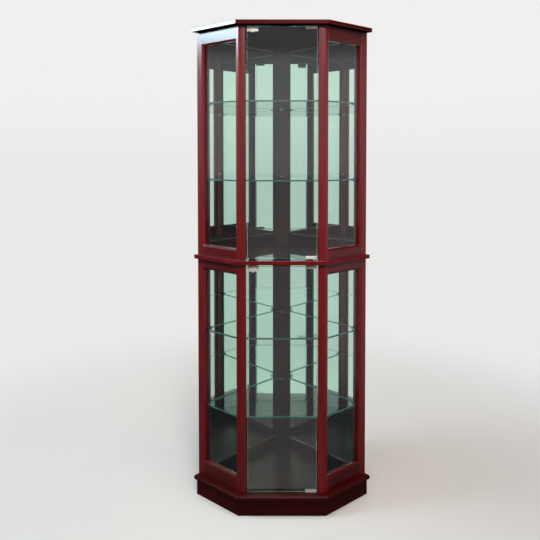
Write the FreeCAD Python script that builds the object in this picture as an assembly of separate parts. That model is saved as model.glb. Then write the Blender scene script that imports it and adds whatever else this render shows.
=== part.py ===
import FreeCAD, Part
import math
import os

# Five-sided corner curio cabinet in two glazed stages, one above the other.
# Millimetres, +Z up. The front faces -Y, and left and right are as seen from the front.
# The origin is on the floor, in the middle of the cabinet's bounding box.
# Plan points are (x, y), with y measured back from the plane of the front posts' faces.

# plan of the carcass at the faces of the posts
front_width = 314.0             # front facet, corner to corner
cabinet_width = 648.0           # across the outer corners of the rear posts
side_run = 142.0                # from the front facet back to those corners
front_post_face = 26.0          # part of the front facet that each front post takes

# heights, from the floor up
plinth_height = 63.0
moulding_thick = 15.0
lower_frame_height = 846.0
waist_thick = 15.0
upper_frame_height = 846.0
top_thick = 15.0
floor_thick = 15.0
floor_drop = 27.0               # floor panel's top below the moulding's top

# boards and base, measured out from the posts' faces
top_overhang = 24.0
waist_overhang = 18.0
moulding_overhang = 24.0
moulding_inset = 28.0           # moulding's inner edge behind the posts' faces
plinth_overhang = 10.0
plinth_thick = 15.0
floor_groove = 5.0              # floor panel's tongue in the plinth boards
board_edge_radius = 1.5
moulding_top_radius = 7.0
moulding_low_radius = 5.0

# posts and side frames
frame_depth = 22.0
front_post_side = 18.0          # part of the side facet that a front post takes
front_post_crown = 1.0          # rise of the post's domed face
front_post_radius = 1.5
rear_post_side = 32.0           # part of the side facet that a rear post takes
rear_post_width = 50.0          # rear post along the wall
upper_top_rail = 53.0
upper_bottom_rail = 39.0
lower_top_rail = 40.0
lower_bottom_rail = 59.0

# glazing of the side frames
slope_width = 7.0               # sloping edge round the glass
slope_depth = 5.0
glass_inset = 13.0              # face of the frame to the face of the glass
side_glass_thick = 4.0
glazing_rabbet = 6.0
glazing_clearance = 1.0
bead_mitre_gap = 0.2            # each bead's end to the mitre line

# mirrored back frames
back_frame_thick = 15.0
mirror_setback = 9.0            # mirror's face in front of the wall line
mirror_thick = 3.0
back_board_thick = 5.0
mirror_rabbet = 8.0
mirror_clearance = 1.0
corner_post_face = 59.0
back_top_rail = 25.0
back_bottom_rail = 45.0
back_rail_slope = 2.0

# glass shelves and the clips that carry them
shelf_thick = 5.0
shelf_gap = 1.5                 # to the side frames and the mirrors
upper_first_shelf = 285.0       # underside above the waist panel
upper_shelf_pitch = 291.0
lower_first_shelf = 295.0       # underside above the floor panel
lower_shelf_pitch = 294.0
clip_width = 12.0
clip_plate = 2.5
clip_drop = 6.0                 # plate below the shelf's underside
clip_tongue = 10.0
clip_tongue_thick = 2.5
clip_nib = 2.0
clip_end_gap = 0.5              # clip plate to the shelf's edge
clip_peg_diameter = 5.0
clip_peg_length = 7.0
clip_inset = 8.0                # clip's middle from the edge of its post

# doors: frameless glass on pivot clips
door_glass_thick = 5.0
door_glass_edge = 0.6
door_inset = 4.0                # door's face behind the posts' faces
door_side_gap = 4.0
upper_door_head_gap = 2.5
upper_door_foot_gap = 5.5
lower_door_head_gap = 7.0
lower_door_foot_gap = 2.5
hinge_clip_width = 42.0
hinge_clip_height = 9.5
hinge_clip_wall = 1.2
hinge_clip_back = 3.0
hinge_axis_inset = 11.0         # pivot axis from the door's hinge edge
pivot_diameter = 5.0
pivot_engagement = 5.0          # pin's length inside its bush
pivot_fit = 0.05                # radial running fit
bush_diameter = 10.0
bush_depth = 6.5
bush_flange_diameter = 14.0
bush_flange_thick = 0.8
grub_screw_diameter = 4.0
grub_screw_spacing = 14.0

# touch latches
strike_width = 42.0
strike_height = 19.5
strike_wall = 1.2
strike_nub_radius = 4.0
latch_gap = 0.3                 # plunger's head to the strike plate
latch_travel = 3.5
latch_stop_gap = 1.0            # head to body with the plunger fully pressed
latch_width = 14.0
latch_height = 13.0
latch_length = 46.0
latch_ear_width = 9.0
latch_ear_length = 14.0
latch_ear_thick = 2.5
latch_ear_setback = 12.0
plunger_diameter = 9.0
plunger_fit = 0.1
plunger_stem = 26.0
plunger_head_diameter = 10.0
plunger_head_thick = 2.5
latch_screw_diameter = 3.5
latch_screw_length = 12.0
latch_screw_head = 7.0
latch_screw_head_thick = 2.0

# dowels between the posts and the boards
dowel_diameter = 8.0
dowel_in_board = 10.0
dowel_in_post = 20.0
front_dowel_inset = 13.0        # from the post's front and door-side faces
rear_dowel_inset = 18.0         # from the outer corner, along the side facet
rear_dowel_depth = 16.0
corner_dowel_depth = 22.0

# directions and lines that follow from these sizes
up = FreeCAD.Vector(0, 0, 1)
down = FreeCAD.Vector(0, 0, -1)
across = FreeCAD.Vector(1, 0, 0)
back = FreeCAD.Vector(0, 1, 0)
diagonal = math.sqrt(0.5)
front_half = front_width / 2
side_half = cabinet_width / 2
door_half = front_half - front_post_face
side_angle = math.atan2(side_run, side_half - front_half)
side_length = math.hypot(side_run, side_half - front_half)
side_normal = (math.sin(side_angle), -math.cos(side_angle))
wall_sum = side_half + side_run             # |x| + y along both wall lines
front_y = (max(top_overhang, moulding_overhang) - wall_sum) / 2

# levels
lower_z = plinth_height + moulding_thick
waist_z = lower_z + lower_frame_height
upper_z = waist_z + waist_thick
top_z = upper_z + upper_frame_height
floor_z = lower_z - floor_drop

# edges of the glass and mirror openings
sight_start = front_post_side
sight_end = side_length - rear_post_side
back_sight_end = (side_half - corner_post_face / 2) / diagonal - back_frame_thick

# doors and latches
door_edge = door_half - door_side_gap
door_back_y = door_inset + door_glass_thick
pivot_point = (door_edge - hinge_axis_inset, door_inset + door_glass_thick / 2)
latch_x = strike_width / 2 - door_edge
plunger_y = door_back_y + strike_wall + latch_gap
latch_y = plunger_y + plunger_head_thick + latch_travel + latch_stop_gap
ear_middle_y = latch_y + latch_ear_setback + latch_ear_length / 2
ear_offset = (latch_width + latch_ear_width) / 2

stages = {
    "upper": {
        "low": upper_z,
        "high": top_z,
        "back_low": upper_z,
        "bottom_rail": upper_bottom_rail,
        "top_rail": upper_top_rail,
        "door_head": upper_door_head_gap,
        "door_foot": upper_door_foot_gap,
        "first_shelf": upper_z + upper_first_shelf,
        "shelf_pitch": upper_shelf_pitch,
    },
    "lower": {
        "low": lower_z,
        "high": waist_z,
        "back_low": floor_z,
        "bottom_rail": lower_bottom_rail,
        "top_rail": lower_top_rail,
        "door_head": lower_door_head_gap,
        "door_foot": lower_door_foot_gap,
        "first_shelf": floor_z + lower_first_shelf,
        "shelf_pitch": lower_shelf_pitch,
    },
}


# plan geometry

def place(point, z):
    return FreeCAD.Vector(point[0], point[1] + front_y, z)


def opposite(point):
    return (-point[0], point[1])


def side_point(along, inward):
    # along the right side facet from its front corner, and inward from its face
    x = front_half + along * math.cos(side_angle) - inward * math.sin(side_angle)
    y = along * math.sin(side_angle) + inward * math.cos(side_angle)
    return (x, y)


def wall_point(along, inward):
    # along the right wall line from the rear post's outer corner, and inward from the wall
    x = side_half - (along + inward) * diagonal
    y = side_run + (along - inward) * diagonal
    return (x, y)


def meet(first, second):
    # crossing of two lines, each given as a normal (x, y) and its distance from the origin
    ax, ay, a = first
    bx, by, b = second
    turn = ax * by - ay * bx
    return ((a * by - b * ay) / turn, (ax * b - bx * a) / turn)


def front_line(outward):
    return (0.0, -1.0, outward)


def side_line(outward):
    return side_normal + (front_half * side_normal[0] + outward,)


def wall_line(outward):
    return (diagonal, diagonal, wall_sum * diagonal + outward)


def cross_line(y):
    return (0.0, 1.0, y)


def outline(outward):
    # five-sided plan with its front and sides moved outward, and its back on the walls
    front_corner = meet(front_line(outward), side_line(outward))
    side_corner = meet(side_line(outward), wall_line(0))
    apex = (0.0, wall_sum)
    return [front_corner, side_corner, apex, opposite(side_corner), opposite(front_corner)]


post_back_y = side_point(front_post_side, frame_depth)[1]
corner_face_y = wall_point(back_sight_end, back_frame_thick)[1]
rear_inner_front = side_point(sight_end, frame_depth)
rear_inner_back = wall_point(rear_post_width, back_frame_thick)
front_dowel = (door_half + front_dowel_inset, front_dowel_inset)
rear_dowel = side_point(side_length - rear_dowel_inset, rear_dowel_depth)
corner_dowel = (0.0, corner_face_y + corner_dowel_depth)
dowel_points = [front_dowel, opposite(front_dowel), rear_dowel, opposite(rear_dowel), corner_dowel]


# solid building

def closed(corners):
    return Part.Face(Part.makePolygon(corners + corners[:1]))


def prism(points, low, high):
    return closed([place(point, low) for point in points]).extrude(up * (high - low))


def block(low_x, high_x, low_y, high_y, low, high):
    corners = [(low_x, low_y), (high_x, low_y), (high_x, high_y), (low_x, high_y)]
    return prism(corners, low, high)


def rod(point, z, diameter, length, direction):
    return Part.makeCylinder(diameter / 2, length, place(point, z), direction)


def mirrored(shape):
    return shape.mirror(FreeCAD.Vector(0, 0, 0), across)


def both_sides(shape):
    return [shape, mirrored(shape)]


def cut_all(shape, cutters):
    for cutter in cutters:
        shape = shape.cut(cutter)
    return shape


def near(first, second):
    return abs(first - second) < 0.001


def is_level(edge):
    return near(edge.Vertexes[0].Point.z, edge.Vertexes[-1].Point.z)


def is_on_wall(edge):
    middle = edge.CenterOfMass
    return near(abs(middle.x) + middle.y - front_y, wall_sum)


def is_above(edge, point):
    # upright edge over a plan point
    middle = edge.CenterOfMass
    return not is_level(edge) and near(middle.x, point[0]) and near(middle.y - front_y, point[1])


def joined(first, second):
    # closed block between two faces that have the same number of corners
    faces = [closed(first), closed(second)]
    for corner in range(len(first)):
        following = (corner + 1) % len(first)
        faces.append(closed([first[corner], first[following], second[following], second[corner]]))
    return Part.Solid(Part.Shell(faces))


# boards and base

def board(overhang, low, thick):
    shape = prism(outline(overhang), low, low + thick)
    rim = [edge for edge in shape.Edges if is_level(edge) and not is_on_wall(edge)]
    return shape.makeFillet(board_edge_radius, rim)


def drill_for_dowels(shape, points, z, direction):
    return cut_all(shape, [rod(point, z, dowel_diameter, dowel_in_board, direction) for point in points])


def bush_hole(z, direction):
    return rod(pivot_point, z, bush_diameter, bush_depth, direction)


def latch_screw_points():
    return [(latch_x + offset, ear_middle_y) for offset in (-ear_offset, ear_offset)]


def latch_screw_holes(z):
    depth = latch_screw_length - latch_ear_thick
    return [rod(point, z, latch_screw_diameter, depth, up) for point in latch_screw_points()]


def top_panel():
    shape = board(top_overhang, top_z, top_thick)
    shape = drill_for_dowels(shape, dowel_points, top_z, up)
    return cut_all(shape, [bush_hole(top_z, up)] + latch_screw_holes(top_z))


def waist_panel():
    shape = board(waist_overhang, waist_z, waist_thick)
    for point in dowel_points:
        shape = shape.cut(rod(point, waist_z, dowel_diameter, waist_thick, up))
    holes = [bush_hole(waist_z, up), bush_hole(upper_z, down)]
    return cut_all(shape, holes + latch_screw_holes(waist_z))


def floor_panel():
    tongue = plinth_overhang - plinth_thick + floor_groove
    shape = prism(outline(tongue), floor_z - floor_thick, floor_z)
    return drill_for_dowels(shape, [corner_dowel], floor_z, down)


def ring_pieces(outer, inner):
    # plans of the front and right-hand pieces of a mitred ring round the front and sides
    outer_front, outer_side = outline(outer)[:2]
    inner_front, inner_side = outline(inner)[:2]
    front = [opposite(outer_front), outer_front, inner_front, opposite(inner_front)]
    right = [outer_front, outer_side, inner_side, inner_front]
    return front, right


def plinth_boards():
    front, right = ring_pieces(plinth_overhang, plinth_overhang - plinth_thick)
    floor = prism(outline(plinth_overhang - plinth_thick + floor_groove), floor_z - floor_thick, floor_z)
    return [prism(plan, 0, plinth_height).cut(floor) for plan in (front, right)]


def plinth_back():
    inner_side = meet(side_line(plinth_overhang - plinth_thick), wall_line(0))
    inner_face = meet(side_line(plinth_overhang - plinth_thick), wall_line(-plinth_thick))
    inner_apex = (0.0, wall_sum - plinth_thick / diagonal)
    plan = [inner_side, (0.0, wall_sum), inner_apex, inner_face]
    return Part.makeCompound(both_sides(prism(plan, 0, floor_z - floor_thick)))


def base_moulding(plan):
    # the strip's outer edge is its plan's first side
    shape = prism(plan, plinth_height, lower_z)
    start, end = place(plan[0], 0), place(plan[1], 0)
    middle = (start + end) * 0.5
    for level, radius in ((plinth_height, moulding_low_radius), (lower_z, moulding_top_radius)):
        target = FreeCAD.Vector(middle.x, middle.y, level)
        edge = min(shape.Edges, key=lambda item: item.CenterOfMass.distanceToPoint(target))
        shape = shape.makeFillet(radius, [edge])
    holes = [point for point in dowel_points if point != corner_dowel]
    shape = drill_for_dowels(shape, holes, lower_z, down)
    return shape.cut(bush_hole(lower_z, down))


# side frames

def side_window(stage):
    # low and high edges of a side frame's opening
    return stage["low"] + stage["bottom_rail"], stage["high"] - stage["top_rail"]


def side_face(start, end, low, high, inward):
    # upright rectangle parallel to the side facet
    plan = [side_point(start, inward), side_point(end, inward)]
    return [place(plan[0], low), place(plan[1], low), place(plan[1], high), place(plan[0], high)]


def side_block(start, end, low, high, outer, inner):
    plan = [side_point(start, outer), side_point(end, outer)]
    plan += [side_point(end, inner), side_point(start, inner)]
    return prism(plan, low, high)


def glazing_cutters(stage):
    # the sloping edge in front of the glass, and the rabbet behind it
    low, high = side_window(stage)
    outside = 1.0
    flare = slope_width * (1 + outside / slope_depth)
    inner = side_face(sight_start, sight_end, low, high, slope_depth)
    outer = side_face(sight_start - flare, sight_end + flare, low - flare, high + flare, -outside)
    slope = joined(inner, outer)
    edge = glazing_rabbet
    reach = frame_depth * 2
    rabbet = side_block(sight_start - edge, sight_end + edge, low - edge, high + edge, glass_inset, reach)
    return [slope, rabbet]


def side_rails(stage):
    low, high = side_window(stage)
    cutters = glazing_cutters(stage)
    bottom = side_block(sight_start, sight_end, stage["low"], low, 0, frame_depth)
    top = side_block(sight_start, sight_end, high, stage["high"], 0, frame_depth)
    return cut_all(bottom, cutters), cut_all(top, cutters)


def side_glass(stage):
    low, high = side_window(stage)
    edge = glazing_rabbet - glazing_clearance
    back_face = glass_inset + side_glass_thick
    return side_block(sight_start - edge, sight_end + edge, low - edge, high + edge, glass_inset, back_face)


def glazing_beads(stage):
    # four mitred strips that hold the glass from inside
    low, high = side_window(stage)
    edge = glazing_rabbet
    bead_face = glass_inset + side_glass_thick
    inner = side_face(sight_start, sight_end, low, high, bead_face)
    outer = side_face(sight_start - edge, sight_end + edge, low - edge, high + edge, bead_face)
    depth = place(side_point(0, frame_depth), 0) - place(side_point(0, bead_face), 0)
    strips = []
    for corner in range(4):
        following = (corner + 1) % 4
        trim = (inner[following] - inner[corner]).normalize() * bead_mitre_gap
        strip = [outer[corner] + trim, outer[following] - trim]
        strip += [inner[following] - trim, inner[corner] + trim]
        strips.append(closed(strip).extrude(depth))
    return strips


# posts

def dowel_holes(points, stage):
    holes = []
    for point in points:
        holes.append(rod(point, stage["low"], dowel_diameter, dowel_in_post, up))
        holes.append(rod(point, stage["high"], dowel_diameter, dowel_in_post, down))
    return holes


def shelf_levels(stage):
    return [stage["first_shelf"], stage["first_shelf"] + stage["shelf_pitch"]]


def peg_holes(spot, stage):
    point, normal = spot
    inward = FreeCAD.Vector(-normal[0], -normal[1], 0)
    return [rod(point, level - clip_drop / 2, clip_peg_diameter, clip_peg_length, inward)
            for level in shelf_levels(stage)]


def clip_spots():
    # where a clip's plate meets a post on the right and at the corner, and the way it faces
    along_x = rear_inner_back[0] - rear_inner_front[0]
    along_y = rear_inner_back[1] - rear_inner_front[1]
    length = math.hypot(along_x, along_y)
    rear_point = (rear_inner_back[0] - along_x / length * clip_inset,
                  rear_inner_back[1] - along_y / length * clip_inset)
    return {
        "front": ((door_half + clip_inset, post_back_y), (0.0, 1.0)),
        "rear": (rear_point, (-along_y / length, along_x / length)),
        "corner": ((0.0, corner_face_y), (0.0, -1.0)),
    }


def front_post(stage):
    start, end = place((door_half, 0), stage["low"]), place((front_half, 0), stage["low"])
    crown = place(((door_half + front_half) / 2, -front_post_crown), stage["low"])
    plan = [side_point(front_post_side, 0), side_point(front_post_side, frame_depth)]
    plan += [(door_half, post_back_y), (door_half, 0)]
    corners = [end] + [place(point, stage["low"]) for point in plan]
    wire = Part.Wire([Part.Arc(start, crown, end).toShape()] + Part.makePolygon(corners).Edges)
    shape = Part.Face(wire).extrude(up * (stage["high"] - stage["low"]))
    arrises = [edge for edge in shape.Edges
               if is_above(edge, (door_half, 0)) or is_above(edge, (front_half, 0))]
    shape = shape.makeFillet(front_post_radius, arrises)
    shape = cut_all(shape, glazing_cutters(stage) + dowel_holes([front_dowel], stage))
    return cut_all(shape, peg_holes(clip_spots()["front"], stage))


def rear_post(stage):
    plan = [side_point(side_length, 0), side_point(sight_end, 0), rear_inner_front, rear_inner_back]
    plan.append(wall_point(rear_post_width, mirror_setback))
    plan.append(wall_point(rear_post_width - mirror_rabbet, mirror_setback))
    plan.append(wall_point(rear_post_width - mirror_rabbet, 0))
    shape = prism(plan, stage["back_low"], stage["high"])
    if stage["back_low"] < stage["low"]:
        # the foot is notched over the base moulding
        ring = prism(outline(moulding_overhang), stage["back_low"], stage["low"])
        shape = shape.cut(ring.cut(prism(outline(-moulding_inset), stage["back_low"], stage["low"])))
    shape = cut_all(shape, glazing_cutters(stage) + dowel_holes([rear_dowel], stage))
    return cut_all(shape, peg_holes(clip_spots()["rear"], stage))


def corner_post(stage):
    half = [wall_point(back_sight_end, back_frame_thick), wall_point(back_sight_end, mirror_setback)]
    half.append(wall_point(back_sight_end + mirror_rabbet, mirror_setback))
    half.append(wall_point(back_sight_end + mirror_rabbet, 0))
    plan = half + [(0.0, wall_sum)] + [opposite(point) for point in reversed(half)]
    shape = prism(plan, stage["back_low"], stage["high"])
    holes = [rod(corner_dowel, stage["back_low"], dowel_diameter, dowel_in_post, up)]
    holes.append(rod(corner_dowel, stage["high"], dowel_diameter, dowel_in_post, down))
    return cut_all(shape, holes + peg_holes(clip_spots()["corner"], stage))


# mirrored backs

def mirror_window(stage):
    return stage["back_low"] + back_bottom_rail, stage["high"] - back_top_rail


def back_rail(outer_level, sight_level):
    # rail along the wall, rabbeted for the mirror on the side of its sight edge
    toward = math.copysign(1, outer_level - sight_level)
    section = [(0, outer_level), (back_frame_thick, outer_level)]
    section.append((back_frame_thick, sight_level + toward * back_rail_slope))
    section.append((back_frame_thick - back_rail_slope, sight_level))
    section.append((mirror_setback, sight_level))
    section.append((mirror_setback, sight_level + toward * mirror_rabbet))
    section.append((0, sight_level + toward * mirror_rabbet))
    corners = [place(wall_point(rear_post_width, inward), z) for inward, z in section]
    run = place(wall_point(back_sight_end, 0), 0) - place(wall_point(rear_post_width, 0), 0)
    return closed(corners).extrude(run)


def back_rails(stage):
    low, high = mirror_window(stage)
    return Part.makeCompound([back_rail(stage["back_low"], low), back_rail(stage["high"], high)])


def back_sheet(stage, inner, outer):
    # a sheet in the back frame's rabbet, between two distances from the wall line
    low, high = mirror_window(stage)
    edge = mirror_rabbet - mirror_clearance
    start, end = rear_post_width - edge, back_sight_end + edge
    plan = [wall_point(start, outer), wall_point(end, outer)]
    plan += [wall_point(end, inner), wall_point(start, inner)]
    return prism(plan, low - edge, high + edge)


def mirror(stage):
    return back_sheet(stage, mirror_setback, mirror_setback - mirror_thick)


def back_board(stage):
    face = mirror_setback - mirror_thick
    return back_sheet(stage, face, face - back_board_thick)


# shelves

def shelf(level):
    post_gap = clip_plate + clip_end_gap
    normal = clip_spots()["rear"][1]
    rear_distance = -(rear_inner_front[0] * normal[0] + rear_inner_front[1] * normal[1]) - post_gap
    front_edge = front_line(-(post_back_y + post_gap))
    side_edge = side_line(-(frame_depth + shelf_gap))
    rear_edge = (-normal[0], -normal[1], rear_distance)
    back_edge = wall_line(-(mirror_setback + shelf_gap))
    corner_edge = cross_line(corner_face_y - post_gap)
    half = [meet(front_edge, side_edge), meet(side_edge, rear_edge)]
    half += [meet(rear_edge, back_edge), meet(back_edge, corner_edge)]
    plan = half + [opposite(point) for point in reversed(half)]
    return prism(plan, level, level + shelf_thick)


def shelf_clip(spot, level):
    # plate against the post, tongue under the glass, small nib over it, and a peg
    point, normal = spot
    aside = (-normal[1], normal[0])

    def slab(start, reach, low, high):
        corners = []
        for distance, offset in ((start, -1), (reach, -1), (reach, 1), (start, 1)):
            x = point[0] + normal[0] * distance + aside[0] * offset * clip_width / 2
            y = point[1] + normal[1] * distance + aside[1] * offset * clip_width / 2
            corners.append((x, y))
        return prism(corners, low, high)

    nib_reach = clip_plate + clip_end_gap + clip_nib
    shape = slab(0, clip_plate, level - clip_drop, level + shelf_thick + clip_nib)
    shape = shape.fuse(slab(0, clip_plate + clip_tongue, level - clip_tongue_thick, level))
    shape = shape.fuse(slab(0, nib_reach, level + shelf_thick, level + shelf_thick + clip_nib))
    inward = FreeCAD.Vector(-normal[0], -normal[1], 0)
    peg = rod(point, level - clip_drop / 2, clip_peg_diameter, clip_peg_length, inward)
    return shape.fuse(peg).removeSplitter()


def shelf_clips():
    clips = []
    for stage in stages.values():
        for level in shelf_levels(stage):
            for name, spot in clip_spots().items():
                clip = shelf_clip(spot, level)
                clips += [clip] if name == "corner" else both_sides(clip)
    return Part.makeCompound(clips)


# doors

def door_span(stage):
    return stage["low"] + stage["door_foot"], stage["high"] - stage["door_head"]


def door_glass(stage):
    low, high = door_span(stage)
    shape = block(-door_edge, door_edge, door_inset, door_back_y, low, high)
    upright = [edge for edge in shape.Edges if near(edge.Length, high - low)]
    return shape.makeChamfer(door_glass_edge, upright)


def folded_clip(low_x, high_x, end, height, wall, back_wall, toward):
    # clip folded over the end of the glass, with its web outside the end
    levels = sorted((end + toward * wall, end - toward * height))
    shape = block(low_x, high_x, door_inset - wall, door_back_y + back_wall, *levels)
    slot = sorted((end, end - toward * 2 * height))
    return shape.cut(block(low_x, high_x, door_inset, door_back_y, *slot))


def hinge_clip(end, gap, toward):
    low_x = door_edge - hinge_clip_width
    shape = folded_clip(low_x, door_edge, end, hinge_clip_height, hinge_clip_wall, hinge_clip_back, toward)
    corners = [edge for edge in shape.Edges if near(edge.Length, hinge_clip_wall)]
    free = [edge for edge in corners if near(edge.CenterOfMass.z, end - toward * hinge_clip_height)]
    shape = shape.makeFillet(hinge_clip_wall, free)
    pin_length = gap - hinge_clip_wall + pivot_engagement
    pin = rod(pivot_point, end + toward * hinge_clip_wall, pivot_diameter, pin_length, up * toward)
    screws = []
    for offset in (-0.5, 0.5):
        middle = (door_edge - hinge_clip_width / 2 + offset * grub_screw_spacing, door_back_y)
        level = end - toward * hinge_clip_height / 2
        screws.append(rod(middle, level, grub_screw_diameter, hinge_clip_back, back))
    return [cut_all(shape.fuse(pin), screws)] + screws


def hinge_clips(stage):
    low, high = door_span(stage)
    clips = hinge_clip(high, stage["door_head"], 1) + hinge_clip(low, stage["door_foot"], -1)
    return Part.makeCompound(clips)


def pivot_bush(level, toward):
    body = rod(pivot_point, level, bush_diameter, bush_depth, up * toward)
    flange = rod(pivot_point, level, bush_flange_diameter, bush_flange_thick, up * -toward)
    bore_start = level - toward * bush_flange_thick
    bore_diameter = pivot_diameter + 2 * pivot_fit
    bore = rod(pivot_point, bore_start, bore_diameter, bush_depth + bush_flange_thick, up * toward)
    return body.fuse(flange).cut(bore)


def pivot_bushes():
    bushes = []
    for stage in stages.values():
        bushes += [pivot_bush(stage["high"], 1), pivot_bush(stage["low"], -1)]
    return Part.makeCompound(bushes)


def strike_plate(stage):
    end = door_span(stage)[1]
    low_x, high_x = -door_edge, strike_width - door_edge
    shape = folded_clip(low_x, high_x, end, strike_height, strike_wall, strike_wall, 1)
    face = (latch_x, door_inset - strike_wall)
    nub = rod(face, end - strike_height, 2 * strike_nub_radius, strike_wall, back)
    return shape.fuse(nub).removeSplitter()


# touch latches under the boards

def latch_level(stage):
    return stage["high"] - latch_height / 2


def latch_body(stage):
    top = stage["high"]
    low_x, high_x = latch_x - latch_width / 2, latch_x + latch_width / 2
    shape = block(low_x, high_x, latch_y, latch_y + latch_length, top - latch_height, top)
    ear_y = latch_y + latch_ear_setback
    ears = block(low_x - latch_ear_width, high_x + latch_ear_width, ear_y, ear_y + latch_ear_length,
                 top - latch_ear_thick, top)
    bore_depth = plunger_y + plunger_head_thick + plunger_stem + latch_travel + latch_stop_gap - latch_y
    bore = rod((latch_x, latch_y), latch_level(stage), plunger_diameter + 2 * plunger_fit, bore_depth, back)
    holes = [rod(point, top, latch_screw_diameter, latch_ear_thick, down) for point in latch_screw_points()]
    return cut_all(shape.fuse(ears), [bore] + holes)


def latch_plunger(stage):
    level = latch_level(stage)
    head = rod((latch_x, plunger_y), level, plunger_head_diameter, plunger_head_thick, back)
    stem = rod((latch_x, plunger_y), level, plunger_diameter, plunger_head_thick + plunger_stem, back)
    return head.fuse(stem).removeSplitter()


def latch_screws():
    screws = []
    for stage in stages.values():
        for point in latch_screw_points():
            seat = stage["high"] - latch_ear_thick
            head = rod(point, seat, latch_screw_head, latch_screw_head_thick, down)
            shank = rod(point, seat, latch_screw_diameter, latch_screw_length, up)
            screws.append(head.fuse(shank))
    return Part.makeCompound(screws)


def dowels():
    pieces = []
    for point in dowel_points:
        foot = floor_z if point == corner_dowel else lower_z
        length = dowel_in_board + dowel_in_post
        through = waist_thick + 2 * dowel_in_post
        pieces.append(rod(point, foot - dowel_in_board, dowel_diameter, length, up))
        pieces.append(rod(point, waist_z - dowel_in_post, dowel_diameter, through, up))
        pieces.append(rod(point, top_z - dowel_in_post, dowel_diameter, length, up))
    return Part.makeCompound(pieces)


# the whole cabinet, node by node

def cabinet():
    nodes = {}

    def pair(name, shape):
        nodes[name + "_right"] = shape
        nodes[name + "_left"] = mirrored(shape)

    nodes["top_panel"] = top_panel()
    nodes["waist_panel"] = waist_panel()
    nodes["floor_panel"] = floor_panel()
    plinth_front, plinth_right = plinth_boards()
    nodes["plinth_front"] = plinth_front
    pair("plinth", plinth_right)
    nodes["plinth_back"] = plinth_back()
    moulding_front, moulding_right = ring_pieces(moulding_overhang, -moulding_inset)
    nodes["base_moulding_front"] = base_moulding(moulding_front)
    pair("base_moulding", base_moulding(moulding_right))

    beads = []
    boards = []
    for name, stage in stages.items():
        pair(name + "_front_post", front_post(stage))
        pair(name + "_rear_post", rear_post(stage))
        nodes[name + "_corner_post"] = corner_post(stage)
        bottom_rail, top_rail = side_rails(stage)
        pair(name + "_side_bottom_rail", bottom_rail)
        pair(name + "_side_top_rail", top_rail)
        pair(name + "_side_glass", side_glass(stage))
        pair(name + "_back_rails", back_rails(stage))
        pair(name + "_mirror", mirror(stage))
        for number, level in enumerate(shelf_levels(stage), start=1):
            nodes[name + "_shelf_" + str(number)] = shelf(level)
        nodes[name + "_door_glass"] = door_glass(stage)
        nodes[name + "_hinge_clips"] = hinge_clips(stage)
        nodes[name + "_strike_plate"] = strike_plate(stage)
        nodes[name + "_latch_body"] = latch_body(stage)
        nodes[name + "_latch_plunger"] = latch_plunger(stage)
        for bead in glazing_beads(stage):
            beads += both_sides(bead)
        boards += both_sides(back_board(stage))

    nodes["glazing_beads"] = Part.makeCompound(beads)
    nodes["back_boards"] = Part.makeCompound(boards)
    nodes["shelf_clips"] = shelf_clips()
    nodes["pivot_bushes"] = pivot_bushes()
    nodes["latch_screws"] = latch_screws()
    nodes["dowels"] = dowels()
    return nodes


os.makedirs("parts", exist_ok=True)
for node, shape in cabinet().items():
    shape.exportStep("parts/" + node + ".step")
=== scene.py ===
import math
import bmesh
import bpy
from mathutils import Matrix, Vector


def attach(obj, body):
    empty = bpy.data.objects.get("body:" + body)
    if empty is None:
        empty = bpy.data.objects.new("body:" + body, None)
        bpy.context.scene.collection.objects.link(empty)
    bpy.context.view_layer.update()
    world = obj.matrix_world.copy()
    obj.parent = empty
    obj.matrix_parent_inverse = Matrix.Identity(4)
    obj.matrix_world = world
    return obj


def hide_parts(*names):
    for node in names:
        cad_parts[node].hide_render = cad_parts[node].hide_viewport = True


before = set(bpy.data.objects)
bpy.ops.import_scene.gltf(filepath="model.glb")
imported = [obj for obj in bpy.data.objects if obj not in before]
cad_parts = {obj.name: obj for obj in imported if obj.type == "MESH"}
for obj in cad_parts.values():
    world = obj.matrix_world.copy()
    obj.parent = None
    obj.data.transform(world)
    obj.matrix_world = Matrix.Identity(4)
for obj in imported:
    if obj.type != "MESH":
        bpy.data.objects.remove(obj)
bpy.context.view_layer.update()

print("frame loaded:", len(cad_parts), "nodes")

# corner curio cabinet, metres, front towards -Y
sideTurn = math.radians(40.4)      # side facets, turned from the front
wallTurn = math.radians(45)
stages = ("upper", "lower")
hands = ("left", "right")


# shader helpers: a value is a number, a colour or the output of another node
def feed(tree, value, socket):
    if isinstance(value, bpy.types.NodeSocket):
        tree.links.new(value, socket)
    else:
        socket.default_value = value


def feedShader(tree, shader, values):
    for socketName, value in values.items():
        feed(tree, value, shader.inputs[socketName])


def newMaterial(name):
    made = bpy.data.materials.new(name)
    made.use_nodes = True
    nodes = made.node_tree.nodes
    nodes.clear()
    output = nodes.new("ShaderNodeOutputMaterial")
    shader = nodes.new("ShaderNodeBsdfPrincipled")
    made.node_tree.links.new(shader.outputs["BSDF"], output.inputs["Surface"])
    return made, made.node_tree, shader


def objectCoords(tree, turn=0.0, stretch=(1, 1, 1)):
    # object coordinates turned about Z, then scaled
    coords = tree.nodes.new("ShaderNodeTexCoord")
    rotate = tree.nodes.new("ShaderNodeMapping")
    rotate.inputs["Rotation"].default_value = (0, 0, turn)
    scale = tree.nodes.new("ShaderNodeMapping")
    scale.inputs["Scale"].default_value = stretch
    tree.links.new(coords.outputs["Object"], rotate.inputs["Vector"])
    tree.links.new(rotate.outputs["Vector"], scale.inputs["Vector"])
    return scale.outputs["Vector"]


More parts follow.
